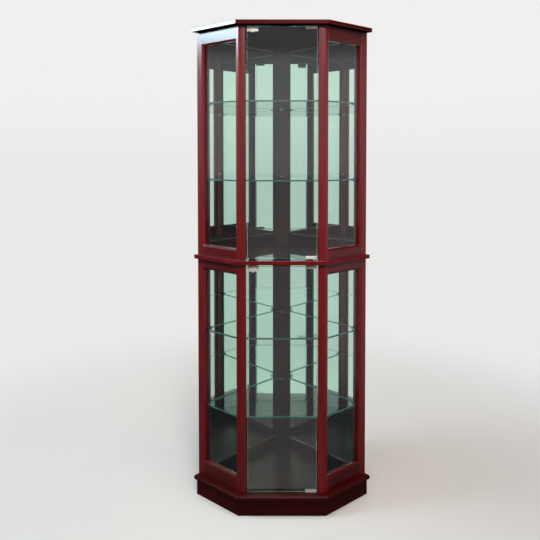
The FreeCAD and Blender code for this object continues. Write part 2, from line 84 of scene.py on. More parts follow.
def noise(tree, vector, scale, detail, roughness=0.55, distortion=0.0):
    made = tree.nodes.new("ShaderNodeTexNoise")
    made.inputs["Scale"].default_value = scale
    made.inputs["Detail"].default_value = detail
    made.inputs["Roughness"].default_value = roughness
    made.inputs["Distortion"].default_value = distortion
    tree.links.new(vector, made.inputs["Vector"])
    return made.outputs["Fac"]


def ramp(tree, factor, places, colors):
    made = tree.nodes.new("ShaderNodeValToRGB")
    elements = made.color_ramp.elements
    while len(elements) < len(places):
        elements.new(0.5)
    for element, place, color in zip(elements, places, colors):
        element.position = place
        element.color = color + (1.0,)
    tree.links.new(factor, made.inputs["Fac"])
    return made.outputs["Color"]


def remap(tree, factor, low, high):
    made = tree.nodes.new("ShaderNodeMapRange")
    feed(tree, low, made.inputs["To Min"])
    feed(tree, high, made.inputs["To Max"])
    tree.links.new(factor, made.inputs["Value"])
    return made.outputs["Result"]


def easeBetween(tree, value, low, high):
    # 0 below the lower limit, 1 above the upper one
    made = tree.nodes.new("ShaderNodeMapRange")
    made.interpolation_type = "SMOOTHSTEP"
    made.inputs["From Min"].default_value = low
    made.inputs["From Max"].default_value = high
    tree.links.new(value, made.inputs["Value"])
    return made.outputs["Result"]


def bump(tree, height, strength, distance):
    made = tree.nodes.new("ShaderNodeBump")
    made.inputs["Strength"].default_value = strength
    made.inputs["Distance"].default_value = distance
    tree.links.new(height, made.inputs["Height"])
    return made.outputs["Normal"]


def combine(tree, operation, *values):
    made = tree.nodes.new("ShaderNodeMath")
    made.operation = operation
    for value, socket in zip(values, made.inputs):
        feed(tree, value, socket)
    return made.outputs[0]


def partAlong(tree, vector, axis):
    parts = tree.nodes.new("ShaderNodeSeparateXYZ")
    tree.links.new(vector, parts.inputs[0])
    return parts.outputs[axis]


def mixColor(tree, factor, first, second):
    mix = tree.nodes.new("ShaderNodeMix")
    mix.data_type = "RGBA"
    for color, socket in ((first, mix.inputs["A"]), (second, mix.inputs["B"])):
        feed(tree, color + (1.0,) if isinstance(color, tuple) else color, socket)
    tree.links.new(factor, mix.inputs["Factor"])
    return mix.outputs["Result"]


def mixShader(tree, factor, first, second, surface):
    mix = tree.nodes.new("ShaderNodeMixShader")
    for value, socket in zip((factor, first, second), mix.inputs):
        tree.links.new(value, socket)
    tree.links.new(mix.outputs[0], surface)


# lacquered wood
stain = {
    # dark, middle and light of the grain
    "frame": ((0.085, 0.0030, 0.0040), (0.140, 0.0050, 0.0065), (0.205, 0.0095, 0.0110)),
    # lighter copy of the frame tone: painted light on the right front posts, as if more light fell on
    # them
    "bright": ((0.112, 0.0036, 0.0048), (0.182, 0.0060, 0.0078), (0.262, 0.0114, 0.0132)),
    # darker copy of the frame tone: painted shade on the side facets' rails
    "facet": ((0.053, 0.0019, 0.0025), (0.087, 0.0031, 0.0040), (0.127, 0.0059, 0.0068)),
    "rim": ((0.042, 0.0016, 0.0021), (0.070, 0.0026, 0.0033), (0.102, 0.0048, 0.0055)),
    # darker tone for the plinths and mouldings: painted shade near the floor
    "base": ((0.029, 0.0016, 0.0016), (0.048, 0.0028, 0.0028), (0.074, 0.0048, 0.0046)),
    # darker tone for the pieces inside the cabinet: painted shade of the interior
    "inner": ((0.022, 0.0042, 0.0050), (0.036, 0.0066, 0.0078), (0.054, 0.0105, 0.0118)),
    # near black: painted shade on the top board's underside
    "under": ((0.007, 0.0022, 0.0022), (0.011, 0.0032, 0.0034), (0.016, 0.0048, 0.0050)),
    "deck": ((0.034, 0.0070, 0.0090), (0.050, 0.0110, 0.0135), (0.070, 0.0170, 0.0190)),
}

lacquer = {
    # noises: scale per metre, detail, roughness, distortion
    "fibre": (260.0, 6.0, 0.6),        # fine streaks
    "figure": (26.0, 3.0, 0.5, 0.6),   # broader bands
    "shares": (0.45, 0.55),            # of the streaks and of the bands
    "stretch": 0.035,                  # how the streaks are drawn out along the grain
    "places": (0.34, 0.50, 0.66),      # of the three tones
    "roughness": (0.28, 0.42),
    "depth": 0.0002,                   # of the grain's relief
    "levelFrom": 0.7,                  # part of the normal that stands up, on level faces
    "underCoat": 0.02,                 # a board's underside has hardly any gloss
}

alongX = (lacquer["stretch"], 1, 1)
grainRuns = {
    # turn about Z and stretch, for the way each piece's grain runs
    "upright": (0.0, (1, 1, lacquer["stretch"])),
    "across": (0.0, alongX),
    "sideRight": (-sideTurn, alongX),
    "sideLeft": (sideTurn, alongX),
    "wallRight": (wallTurn, alongX),
    "wallLeft": (-wallTurn, alongX),
}


def stained(tree, blend, tone):
    return ramp(tree, blend, lacquer["places"], stain[tone])


def levelFaces(tree):
    # 1 on faces that look up, and 1 on faces that look down
    geometry = tree.nodes.new("ShaderNodeNewGeometry")
    upright = partAlong(tree, geometry.outputs["True Normal"], "Z")
    limit = lacquer["levelFrom"]
    above = combine(tree, "GREATER_THAN", upright, limit)
    return above, combine(tree, "LESS_THAN", upright, -limit)


def lacquerMaterial(name, tone, run, coat=0.70, coatRoughness=0.22, shine=0.10, relief=0.03,
                    board=None, edgeCoat=None):
    made, tree, shader = newMaterial(name)
    grain = objectCoords(tree, *grainRuns[run])
    fibre = noise(tree, grain, *lacquer["fibre"])
    figure = noise(tree, grain, *lacquer["figure"])
    fibreShare, figureShare = lacquer["shares"]
    bands = combine(tree, "MULTIPLY", figure, figureShare)
    blend = combine(tree, "MULTIPLY_ADD", fibre, fibreShare, bands)
    color = stained(tree, blend, tone)
    weight = coat
    if board:
        # a board's upper face has a tone of its own, and its underside a darker one, painted shade
        above, shadedUnderside = levelFaces(tree)
        for faces, faceTone in zip((above, shadedUnderside), board):
            color = mixColor(tree, faces, color, stained(tree, blend, faceTone))
        if edgeCoat is not None:
            weight = remap(tree, above, edgeCoat, coat)
        weight = remap(tree, shadedUnderside, weight, lacquer["underCoat"])
    feedShader(tree, shader, {
        "Base Color": color,
        "Roughness": remap(tree, figure, *lacquer["roughness"]),
        "Specular IOR Level": shine,
        "Coat Weight": weight,
        "Coat Roughness": coatRoughness,
    })
    if relief:
        tree.links.new(bump(tree, fibre, relief, lacquer["depth"]), shader.inputs["Normal"])
    return made


def lacquerRange(name, tone, runs, **finish):
    # one finish for pieces whose grain runs different ways
    return {run: lacquerMaterial(name + run[0].upper() + run[1:], tone, run, **finish)
            for run in runs}


frameWood = lacquerMaterial("frameLacquerUpright", "frame", "upright")
# painted light: the lighter copy of the frame lacquer, for the right front posts
paintedLightFrameWood = lacquerMaterial("paintedLightLacquerUpright", "bright", "upright")
# painted shade: the darker lacquer for the rails of the side facets
shadedFacetWood = lacquerRange("shadedFacetLacquer", "facet", ("sideRight", "sideLeft"))
# painted shade: the dark lacquer for the plinths and base mouldings
shadedBaseWood = lacquerRange("shadedBaseLacquer", "base", ("across", "sideRight", "sideLeft", "wallRight"),
                        coat=0.15, coatRoughness=0.35, shine=0.05)
# painted shade: the dark interior lacquer for the corner posts and back rails
shadedInnerWood = lacquerRange("shadedInnerLacquer", "inner", ("upright", "wallRight", "wallLeft"),
                         coat=0.25, shine=0.05)
# the lower compartment's floor takes the dark interior tone, painted shade
shadedFloorWood = lacquerMaterial("shadedFloorLacquer", "inner", "across",
                            coat=0.18, coatRoughness=0.3, shine=0.03, relief=0.02)
# the top board's underside gets the near-black tone, painted shade
topWood = lacquerMaterial("topLacquer", "rim", "across",
                          coatRoughness=0.12, shine=0.0, relief=0.0, board=("frame", "under"))
# the waist board's underside takes the dark interior tone, painted shade
deckWood = lacquerMaterial("deckLacquer", "frame", "across", coat=1.0, coatRoughness=0.012,
                           relief=0.0, board=("deck", "inner"), edgeCoat=0.1)


# glass
shelfRim = {
    # ground rim of the shelves: outward direction in plan and reach of each edge, halves alike
    "edges": (
        (0, -1, 0.18958), (0.6478, -0.7618, 0.24656), (0.969, 0.2473, 0.25301),
        (0.7071, 0.7071, 0.16274), (0, 1, 0.19129),
    ),
    "width": 0.0035,
}


def withinRim(tree, rim):
    # 1 on the faces inside the rim
    coords = tree.nodes.new("ShaderNodeTexCoord")
    plan = tree.nodes.new("ShaderNodeCombineXYZ")
    offCentre = combine(tree, "ABSOLUTE", partAlong(tree, coords.outputs["Object"], "X"))
    tree.links.new(offCentre, plan.inputs["X"])
    tree.links.new(partAlong(tree, coords.outputs["Object"], "Y"), plan.inputs["Y"])
    outermost = None
    for outX, outY, reach in rim["edges"]:
        out = tree.nodes.new("ShaderNodeVectorMath")
        out.operation = "DOT_PRODUCT"
        out.inputs[1].default_value = (outX, outY, 0)
        tree.links.new(plan.outputs[0], out.inputs[0])
        past = combine(tree, "SUBTRACT", out.outputs["Value"], reach)
        outermost = past if outermost is None else combine(tree, "MAXIMUM", outermost, past)
    return combine(tree, "LESS_THAN", outermost, -rim["width"])


glassKinds = {
    # clear on the faces, which look along the axis, and coloured where the ground edges show
    "doorGlass": {
        "face": (0.92, 0.985, 0.962), "index": 1.52, "axis": "Y",
        "edge": (0.36, 0.66, 0.59), "edgeClearness": 0.3, "edgeRoughness": 0.0,
    },
    "sideGlass": {"face": (0.92, 0.985, 0.962), "index": 1.45},
    "shelfGlass": {
        "face": (0.90, 0.975, 0.95), "index": 1.5, "axis": "Z",
        "edge": (0.045, 0.60, 0.50), "edgeClearness": 0.8, "edgeRoughness": 0.3, "rim": shelfRim,
    },
}
faceFrom = 0.8      # part of the normal along the axis, from which it is a face


def glassMaterial(name):
    kind = glassKinds[name]
    made, tree, shader = newMaterial(name)
    color, clearness, roughness = kind["face"] + (1.0,), 1.0, 0.0
    if "edge" in kind:
        geometry = tree.nodes.new("ShaderNodeNewGeometry")
        own = tree.nodes.new("ShaderNodeVectorTransform")     # the normal turns with the pane
        own.vector_type = "NORMAL"
        own.convert_from = "WORLD"
        own.convert_to = "OBJECT"
        tree.links.new(geometry.outputs["True Normal"], own.inputs[0])
        facing = combine(tree, "ABSOLUTE", partAlong(tree, own.outputs[0], kind["axis"]))
        isFace = combine(tree, "GREATER_THAN", facing, faceFrom)
        if "rim" in kind:
            isFace = combine(tree, "MULTIPLY", isFace, withinRim(tree, kind["rim"]))
        color = mixColor(tree, isFace, kind["edge"], kind["face"])
        clearness = remap(tree, isFace, kind["edgeClearness"], clearness)
        roughness = remap(tree, isFace, kind["edgeRoughness"], roughness)
    feedShader(tree, shader, {
        "Base Color": color,
        "Transmission Weight": clearness,
        "Roughness": roughness,
        "IOR": kind["index"],
    })
    return made


doorGlass = glassMaterial("doorGlass")
sideGlass = glassMaterial("sideGlass")
shelfGlass = glassMaterial("shelfGlass")


# mirrors, metal, plastic and the hidden boards: two close tones, mottled at a scale per metre
mottleUsual = {
    "places": (0.35, 0.65),       # of the two tones
    "detail": 4.0,
    "stretch": (1, 1, 1),
    "roughness": None,            # its two ends, where it follows the mottle
    "relief": (0.3, 0.0001),      # strength and depth
    "shader": {},
}

mottleKinds = {
    "silveredMirror": {
        "tones": ((0.845, 0.960, 0.900), (0.860, 0.970, 0.912)), "places": (0.3, 0.7),
        "scale": 3.0, "detail": 2.0, "relief": None,
        "shader": {"Metallic": 1.0, "Roughness": 0.02},
    },
    "clearPlastic": {
        "tones": ((0.80, 0.88, 0.86), (0.90, 0.95, 0.94)), "places": (0.3, 0.7),
        "scale": 400.0, "detail": 3.0, "roughness": (0.12, 0.25), "relief": None,
        "shader": {"IOR": 1.49, "Transmission Weight": 0.6},
    },
    "satinPlating": {
        "tones": ((0.62, 0.59, 0.51), (0.70, 0.67, 0.59)),
        "scale": 300.0, "roughness": (0.38, 0.50), "shader": {"Metallic": 0.25},
    },
    "zincPlating": {
        "tones": ((0.42, 0.42, 0.40), (0.52, 0.52, 0.50)),
        "scale": 700.0, "roughness": (0.3, 0.4), "shader": {"Metallic": 1.0},
    },
    "darkPlastic": {
        "tones": ((0.018, 0.014, 0.012), (0.030, 0.024, 0.021)),
        "scale": 500.0, "roughness": (0.45, 0.6),
    },
    "nylon": {
        "tones": ((0.030, 0.020, 0.018), (0.045, 0.032, 0.028)),
        "scale": 400.0, "roughness": (0.4, 0.5),
    },
    "hardboard": {
        "tones": ((0.11, 0.066, 0.044), (0.16, 0.10, 0.070)),
        "scale": 900.0, "roughness": (0.7, 0.9),
    },
    "beech": {
        "tones": ((0.42, 0.26, 0.13), (0.52, 0.34, 0.18)),
        "scale": 300.0, "roughness": (0.6, 0.75), "stretch": (1, 1, 0.05),
    },
}


def mottledMaterial(name):
    kind = {**mottleUsual, **mottleKinds[name]}
    made, tree, shader = newMaterial(name)
    coords = objectCoords(tree, stretch=kind["stretch"])
    spots = noise(tree, coords, kind["scale"], kind["detail"])
    tree.links.new(ramp(tree, spots, kind["places"], kind["tones"]), shader.inputs["Base Color"])
    if kind["roughness"]:
        tree.links.new(remap(tree, spots, *kind["roughness"]), shader.inputs["Roughness"])
    if kind["relief"]:
        tree.links.new(bump(tree, spots, *kind["relief"]), shader.inputs["Normal"])
    feedShader(tree, shader, kind["shader"])
    return made


mirrorSilver = mottledMaterial("silveredMirror")
clearPlastic = mottledMaterial("clearPlastic")
satinMetal = mottledMaterial("satinPlating")
zinc = mottledMaterial("zincPlating")
darkPlastic = mottledMaterial("darkPlastic")
nylon = mottledMaterial("nylon")
hardboard = mottledMaterial("hardboard")
beech = mottledMaterial("beech")


def dress(piece, material):
    piece.data.materials.clear()
    piece.data.materials.append(material)


def finishNode(node, material):
    dress(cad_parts[node], material)


def finishCarcass():
    finishNode("top_panel", topWood)
    finishNode("waist_panel", deckWood)
    finishNode("floor_panel", shadedFloorWood)
    finishNode("plinth_front", shadedBaseWood["across"])
    finishNode("plinth_back", shadedBaseWood["wallRight"])
    finishNode("base_moulding_front", shadedBaseWood["across"])
    for hand in hands:
        side = "side" + hand.capitalize()
        finishNode("plinth_" + hand, shadedBaseWood[side])
        finishNode("base_moulding_" + hand, shadedBaseWood[side])
        for stage in stages:
            # the right front posts take the lighter copy of the frame tone, painted light
            finishNode(stage + "_front_post_" + hand, paintedLightFrameWood if hand == "right" else frameWood)
            finishNode(stage + "_rear_post_" + hand, frameWood)
            # the side rails take the darker copy of the frame tone, painted shade
            finishNode(stage + "_side_bottom_rail_" + hand, shadedFacetWood[side])
            finishNode(stage + "_side_top_rail_" + hand, shadedFacetWood[side])
            finishNode(stage + "_back_rails_" + hand, shadedInnerWood["wall" + hand.capitalize()])
            finishNode(stage + "_side_glass_" + hand, sideGlass)
            finishNode(stage + "_mirror_" + hand, mirrorSilver)
    for stage in stages:
        finishNode(stage + "_corner_post", shadedInnerWood["upright"])
        finishNode(stage + "_shelf_1", shelfGlass)
        finishNode(stage + "_shelf_2", shelfGlass)
    finishNode("glazing_beads", frameWood)
    finishNode("back_boards", hardboard)
    finishNode("pivot_bushes", nylon)
    finishNode("dowels", beech)


finishCarcass()
print("carcass finished")


# shaping helpers for the small pieces
near = 0.0001        # metres, how close counts as at a place
straight = 0.9       # part of a direction's length that counts as along an axis
overcut = 0.001      # how far before the face a cutting rod starts


def selectOnly(piece):
    bpy.ops.object.select_all(action="DESELECT")
    piece.select_set(True)
    bpy.context.view_layer.objects.active = piece


def takeNew(name, scale=(1, 1, 1)):
    piece = bpy.context.object
    piece.name = name
    piece.scale = scale
    bpy.ops.object.transform_apply(location=True, rotation=True, scale=True)
    return piece


def startBox(name, low, high):
    bpy.ops.object.select_all(action="DESELECT")
    middle = [(first + second) / 2 for first, second in zip(low, high)]
    bpy.ops.mesh.primitive_cube_add(size=1.0, location=middle)
    return takeNew(name, [second - first for first, second in zip(low, high)])


def startRod(name, base, radius, length, along, sides=32):
    # a cylinder from its base, along an axis
    bpy.ops.object.select_all(action="DESELECT")
    direction = Vector(along)
    turn = direction.to_track_quat("Z", "Y").to_euler()
    bpy.ops.mesh.primitive_cylinder_add(vertices=sides, radius=radius, depth=length,
                                        location=Vector(base) + direction * length / 2, rotation=turn)
    return takeNew(name)


def editMode(piece, kind="FACE"):
    selectOnly(piece)
    bpy.ops.object.mode_set(mode="EDIT")
    bpy.ops.mesh.select_mode(type=kind)


def objectMode():
    bpy.ops.object.mode_set(mode="OBJECT")


def pickFaces(piece, test):
    # select the faces whose middle and normal pass the test
    bpy.ops.mesh.select_all(action="DESELECT")
    shape = bmesh.from_edit_mesh(piece.data)
    for face in shape.faces:
        face.select_set(bool(test(face.calc_center_median(), face.normal)))
    bmesh.update_edit_mesh(piece.data)


def pickEdges(piece, test):
    # select the edges whose middle and direction pass the test
    bpy.ops.mesh.select_all(action="DESELECT")
    shape = bmesh.from_edit_mesh(piece.data)
    for edge in shape.edges:
        first, second = (corner.co for corner in edge.verts)
        edge.select_set(bool(test((first + second) / 2, (second - first).normalized())))
    bmesh.update_edit_mesh(piece.data)


def sliceAt(piece, point, normal):
    bpy.ops.mesh.select_all(action="SELECT")
    bpy.ops.mesh.bisect(plane_co=point, plane_no=normal)


def pushOut(offset):
    bpy.ops.mesh.extrude_region_move(TRANSFORM_OT_translate={"value": offset})


def sinkEdges(depth):
    # a ring of edges goes down and is closed
    bpy.ops.mesh.extrude_edges_move(TRANSFORM_OT_translate={"value": (0, 0, -depth)})
    bpy.ops.mesh.edge_face_add()


def widen(scale, centre):
    bpy.ops.transform.resize(value=scale, center_override=centre)


def roundEdges(offset, segments):
    bpy.ops.mesh.bevel(offset=offset, segments=segments)


def insetFace(thickness, depth):
    bpy.ops.mesh.inset(thickness=thickness, depth=depth)


def applyModifier(piece, modifier):
    selectOnly(piece)
    bpy.ops.object.modifier_apply(modifier=modifier.name)


def softenEdges(piece, width, segments=2, angle=35):
    bevel = piece.modifiers.new("arris", "BEVEL")
    bevel.width = width
    bevel.segments = segments
    bevel.limit_method = "ANGLE"
    bevel.angle_limit = math.radians(angle)
    bevel.use_clamp_overlap = True
    applyModifier(piece, bevel)


def cutAway(piece, tools):
    for tool in tools:
        cut = piece.modifiers.new("cut", "BOOLEAN")
        cut.operation = "DIFFERENCE"
        cut.solver = "EXACT"
        cut.object = tool
        applyModifier(piece, cut)
        bpy.data.objects.remove(tool, do_unlink=True)


def smoothByAngle(piece, angle=30):
    selectOnly(piece)
    bpy.ops.object.shade_smooth_by_angle(angle=math.radians(angle))


def placePiece(piece, matrix):
    # puts the place into the mesh and leaves the object at the origin
    piece.data.transform(matrix)
    if matrix.determinant() < 0:
        piece.data.flip_normals()
    piece.data.update()


def copyPiece(piece, matrix):
    made = piece.copy()
    made.data = piece.data.copy()
    bpy.context.scene.collection.objects.link(made)
    placePiece(made, matrix)
    return made


def joinPieces(pieces, name):
    bpy.ops.object.select_all(action="DESELECT")
    for piece in pieces:
        piece.select_set(True)
    bpy.context.view_layer.objects.active = pieces[0]
    bpy.ops.object.join()
    pieces[0].name = name
    return pieces[0]


def repeatPiece(model, matrices, name):
    copies = [copyPiece(model, matrix) for matrix in matrices]
    bpy.data.objects.remove(model, do_unlink=True)
    return joinPieces(copies, name)


def settle(piece, body, slotName, *nodes):
    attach(piece, body)
    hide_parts(*nodes)


# doors: frameless panes with polished arrises
pane = {
    "x": (-0.127, 0.127),
    "y": (-0.217, -0.212),
    "z": {"upper": (0.9445, 1.7825), "lower": (0.0805, 0.917)},
    "corner": (0.0035, 5),      # size and segments
    "arris": (0.0016, 1),
}


def makePane(stage):
    glass = startBox(stage + "DoorPane", *zip(pane["x"], pane["y"], pane["z"][stage]))
    editMode(glass, "EDGE")
    pickEdges(glass, lambda middle, along: abs(along.y) > straight)
    roundEdges(*pane["corner"])
    pickEdges(glass, lambda middle, along: abs(along.y) < straight)
    roundEdges(*pane["arris"])
    objectMode()
    dress(glass, doorGlass)
    settle(glass, stage + "_door", "clear_glass", stage + "_door_glass")


# pivot clips: a folded channel over the pane's end, two grub screws behind, a pin beyond
hingeClip = {
    "x": (0.085, 0.127),
    "front": 0.0012,            # wall in front of the pane, and the web over its end
    "back": 0.003,              # wall behind it, tapped for the screws
    "reach": 0.0095,            # along the pane
    "footCorner": (0.0012, 4),
    "arris": (0.0003, 2),
    "gaps": {"upper": (0.0055, 0.0025), "lower": (0.0025, 0.007)},    # below and above each door
    "pinRadius": 0.0025,
    "pinAt": (0.116, -0.2145),
    "pinIn": 0.005,             # inside the bush
    "pinArris": (0.0004, 2, 60),    # size, segments and the least angle
}

grubScrew = {
    "radius": 0.002,
    "play": 0.00005,            # between screw and hole
    "spacing": 0.014,
    "sunk": 0.0002,             # below the wall's back
    "short": 0.0003,            # how much shorter than the wall is thick
    "sides": 24,
    "ringFrom": 0.96,           # share of the radius at which its outer ring begins
    "socketRadius": 0.0011,
    "socketDepth": 0.0016,
}


def foldedPlate(name, facts, end):
    # web over the pane's end and a wall down each face, rounded at the foot
    nearFace, farFace = pane["y"]
    foot = end - facts["reach"]
    low = (facts["x"][0], nearFace - facts["front"], end)
    high = (facts["x"][1], farFace + facts["back"], end + facts["front"])
    plate = startBox(name, low, high)
    editMode(plate)
    sliceAt(plate, (0, nearFace, 0), (0, 1, 0))
    sliceAt(plate, (0, farFace, 0), (0, 1, 0))
    pickFaces(plate, lambda middle, normal: normal.z < -straight
              and not nearFace < middle.y < farFace)
    pushOut((0, 0, -facts["reach"]))
    bpy.ops.mesh.select_mode(type="EDGE")
    pickEdges(plate, lambda middle, along: abs(along.y) > straight and abs(middle.z - foot) < near)
    roundEdges(*facts["footCorner"])
    objectMode()
    return plate


def makeGrubScrew(middle):
    # short plug with a hexagonal socket
    radius, socket = grubScrew["radius"], grubScrew["socketRadius"]
    bpy.ops.object.select_all(action="DESELECT")
    bpy.ops.mesh.primitive_circle_add(vertices=grubScrew["sides"], radius=radius - grubScrew["play"])
    screw = bpy.context.object
    screw.name = "grubScrew"
    editMode(screw, "EDGE")
    bpy.ops.mesh.primitive_circle_add(vertices=6, radius=socket)
    bpy.ops.mesh.select_all(action="SELECT")
    bpy.ops.mesh.bridge_edge_loops()
    # first the socket's six edges, then the outer ring
    pickEdges(screw, lambda point, along: point.length < socket)
    sinkEdges(grubScrew["socketDepth"])
    pickEdges(screw, lambda point, along: point.length > radius * grubScrew["ringFrom"])
    sinkEdges(hingeClip["back"] - grubScrew["short"])
    bpy.ops.mesh.select_all(action="SELECT")
    bpy.ops.mesh.normals_make_consistent(inside=False)
    objectMode()
    placePiece(screw, Matrix.Translation(middle) @ Matrix.Rotation(-math.pi / 2, 4, "X"))
    dress(screw, zinc)
    return screw


def makeHingeClips():
    end = pane["z"]["upper"][1]
    clip = foldedPlate("hingeClip", hingeClip, end)
    level = end - hingeClip["reach"] / 2
    centre, apart = sum(hingeClip["x"]) / 2, grubScrew["spacing"] / 2
    spots = [Vector((centre + side * apart, pane["y"][1], level)) for side in (-1, 1)]
    before, through = Vector((0, overcut, 0)), 2 * hingeClip["back"]
    cutAway(clip, [startRod("hole", spot - before, grubScrew["radius"], through, (0, 1, 0),
                            grubScrew["sides"]) for spot in spots])
    softenEdges(clip, *hingeClip["arris"])
    dress(clip, satinMetal)
    screwIn = Vector((0, hingeClip["back"] - grubScrew["sunk"], 0))
    model = joinPieces([clip] + [makeGrubScrew(spot + screwIn) for spot in spots], "hingeClipModel")
    smoothByAngle(model)
    for stage in stages:
        pieces = []
        for paneEnd, toward, gap in zip(pane["z"][stage], (-1, 1), hingeClip["gaps"][stage]):
            flip = Matrix.Diagonal((1, 1, toward, 1))
            place = Matrix.Translation((0, 0, paneEnd)) @ flip @ Matrix.Translation((0, 0, -end))
            pieces.append(copyPiece(model, place))
            base = hingeClip["pinAt"] + (paneEnd + toward * hingeClip["front"],)
            length = gap - hingeClip["front"] + hingeClip["pinIn"]
            pin = startRod("pin", base, hingeClip["pinRadius"], length, (0, 0, toward))
            softenEdges(pin, *hingeClip["pinArris"])
            dress(pin, satinMetal)
            smoothByAngle(pin)
            pieces.append(pin)
        made = joinPieces(pieces, stage + "HingeClips")
        settle(made, stage + "_door", "satin_metal", stage + "_hinge_clips")
    bpy.data.objects.remove(model, do_unlink=True)


# strike plates: folded over the pane's upper corner, with a half-round tab below
strike = {
    "x": (-0.127, -0.085),
    "front": 0.0012,            # walls before and behind the pane
    "back": 0.0012,
    "reach": 0.0195,
    "footCorner": (0.0015, 4),
    "arris": (0.0003, 2),
    "tabX": -0.106,
    "tabRadius": 0.004,
    "tabThick": 0.98,           # share of the wall
    "tabSides": 40,
    "tabDish": (0.0012, -0.0002),   # inset and depth
    "tabArris": (0.00025, 2),
}


def makeStrikePlate(stage):
    end = pane["z"][stage][1]
    plate = foldedPlate(stage + "StrikePlate", strike, end)
    softenEdges(plate, *strike["arris"])
    base = (strike["tabX"], pane["y"][0] - strike["front"], end - strike["reach"])
    thick = strike["front"] * strike["tabThick"]
    tab = startRod("tab", base, strike["tabRadius"], thick, (0, 1, 0), strike["tabSides"])
    editMode(tab)
    pickFaces(tab, lambda middle, normal: normal.y < -straight)
    insetFace(*strike["tabDish"])
    objectMode()
    softenEdges(tab, *strike["tabArris"])
    made = joinPieces([plate, tab], stage + "StrikePlate")
    dress(made, satinMetal)
    smoothByAngle(made)
    settle(made, stage + "_door", "satin_metal", stage + "_strike_plate")


# touch latches under the boards
latch = {
    "x": (-0.113, -0.099),
    "y": (-0.2035, -0.1575),
    "height": 0.013,
    "head": {"upper": 1.785, "lower": 0.924},
    "earReach": 0.009,
    "earY": (-0.1915, -0.1775),
    "earThick": 0.0025,
    "earCorner": (0.004, 5),
    "bodyCorner": (0.0015, 3),
    "arris": (0.0004, 2),
    "bore": 0.0046,
    "boreEnd": 0.033,           # behind the plunger's face
}

plunger = {
    "face": -0.2105,
    "stemRadius": 0.0045,
    "stemLength": 0.026,
    "headRadius": 0.005,
    "headThick": 0.0025,
    "headRings": ((0.0012, 0), (0.0003, -0.0005)),      # inset and depth of each
    "arris": (0.0003, 2),
}


def makeLatchBody(stage):
    left, right = latch["x"]
    nose, tail = latch["y"]
    top = latch["head"][stage]
    foot = top - latch["height"]
    body = startBox(stage + "LatchBody", (left, nose, foot), (right, tail, top))
    editMode(body)
    for y in latch["earY"]:
        sliceAt(body, (0, y, 0), (0, 1, 0))
    sliceAt(body, (0, 0, top - latch["earThick"]), (0, 0, 1))
    for side, edge in ((-1, left), (1, right)):
        pickFaces(body, lambda middle, normal: normal.x * side > straight
                  and abs(middle.x - edge) < near and middle.z > top - latch["earThick"]
                  and latch["earY"][0] < middle.y < latch["earY"][1])
        pushOut((side * latch["earReach"], 0, 0))
    # round the ears' outer corners, then the body's own
    bpy.ops.mesh.select_mode(type="EDGE")
    pickEdges(body, lambda middle, along: abs(along.z) > straight
              and not left - 10 * near < middle.x < right + 10 * near)
    roundEdges(*latch["earCorner"])
    pickEdges(body, lambda middle, along: abs(along.z) > straight
              and left - near < middle.x < right + near
              and not nose + near < middle.y < tail - near)
    roundEdges(*latch["bodyCorner"])
    objectMode()
    mouth = (sum(latch["x"]) / 2, nose - overcut, top - latch["height"] / 2)
    depth = plunger["face"] + latch["boreEnd"] - mouth[1]
    cutAway(body, [startRod("bore", mouth, latch["bore"], depth, (0, 1, 0))])
    softenEdges(body, *latch["arris"])
    dress(body, darkPlastic)
    smoothByAngle(body)
    settle(body, "root", "latch_plastic", stage + "_latch_body")


def makeLatchPlunger(stage):
    collar = (sum(latch["x"]) / 2, plunger["face"] + plunger["headThick"],
              latch["head"][stage] - latch["height"] / 2)
    rod = startRod(stage + "LatchPlunger", collar, plunger["stemRadius"], plunger["stemLength"],
                   (0, 1, 0))
    editMode(rod)
    pickFaces(rod, lambda middle, normal: normal.y < -straight)
    pushOut((0, 0, 0))
    wider = plunger["headRadius"] / plunger["stemRadius"]
    widen((wider, wider, wider), collar)
    pushOut((0, -plunger["headThick"], 0))
    for ring in plunger["headRings"]:
        insetFace(*ring)
    objectMode()
    softenEdges(rod, *plunger["arris"])
    dress(rod, darkPlastic)
    smoothByAngle(rod)
    settle(rod, stage + "_plunger", "latch_plastic", stage + "_latch_plunger")


latchScrew = {
    # modelled head down, its bearing face at zero
    "radius": 0.0035,
    "rim": 0.001,
    "dome": ((0.0006, 0.78), (0.0004, 0.5)),    # rise of each ring and how it narrows
    "shankInset": 0.00175,
    "length": 0.0117,
    "tip": 0.7,
    "slot": (0.0014, 0.0003),                   # half length and half width
    "slotZ": (-0.003, -0.0012),
    "spots": ((-0.1175, -0.1845), (-0.0945, -0.1845)),
}


def makeLatchScrews():
    # domed head with crossed slots, and a plain shank
    screw = startRod("latchScrew", (0, 0, 0), latchScrew["radius"], latchScrew["rim"], (0, 0, -1))
    editMode(screw)
    pickFaces(screw, lambda middle, normal: normal.z < -straight)
    for rise, narrower in latchScrew["dome"]:
        pushOut((0, 0, -rise))
        widen((narrower, narrower, 1), (0, 0, 0))
    pickFaces(screw, lambda middle, normal: normal.z > straight)
    insetFace(latchScrew["shankInset"], 0)
    pushOut((0, 0, latchScrew["length"]))
    widen((latchScrew["tip"], latchScrew["tip"], 1), (0, 0, 0))
    objectMode()
    long, wide = latchScrew["slot"]
    deep, shallow = latchScrew["slotZ"]
    cutAway(screw, [startBox("slot", (-x, -y, deep), (x, y, shallow))
                    for x, y in ((long, wide), (wide, long))])
    dress(screw, zinc)
    places = [Matrix.Translation((x, y, latch["head"][stage] - latch["earThick"]))
              for stage in stages for x, y in latchScrew["spots"]]
    made = repeatPiece(screw, places, "latchScrews")
    smoothByAngle(made)
    settle(made, "root", "screw_steel", "latch_screws")


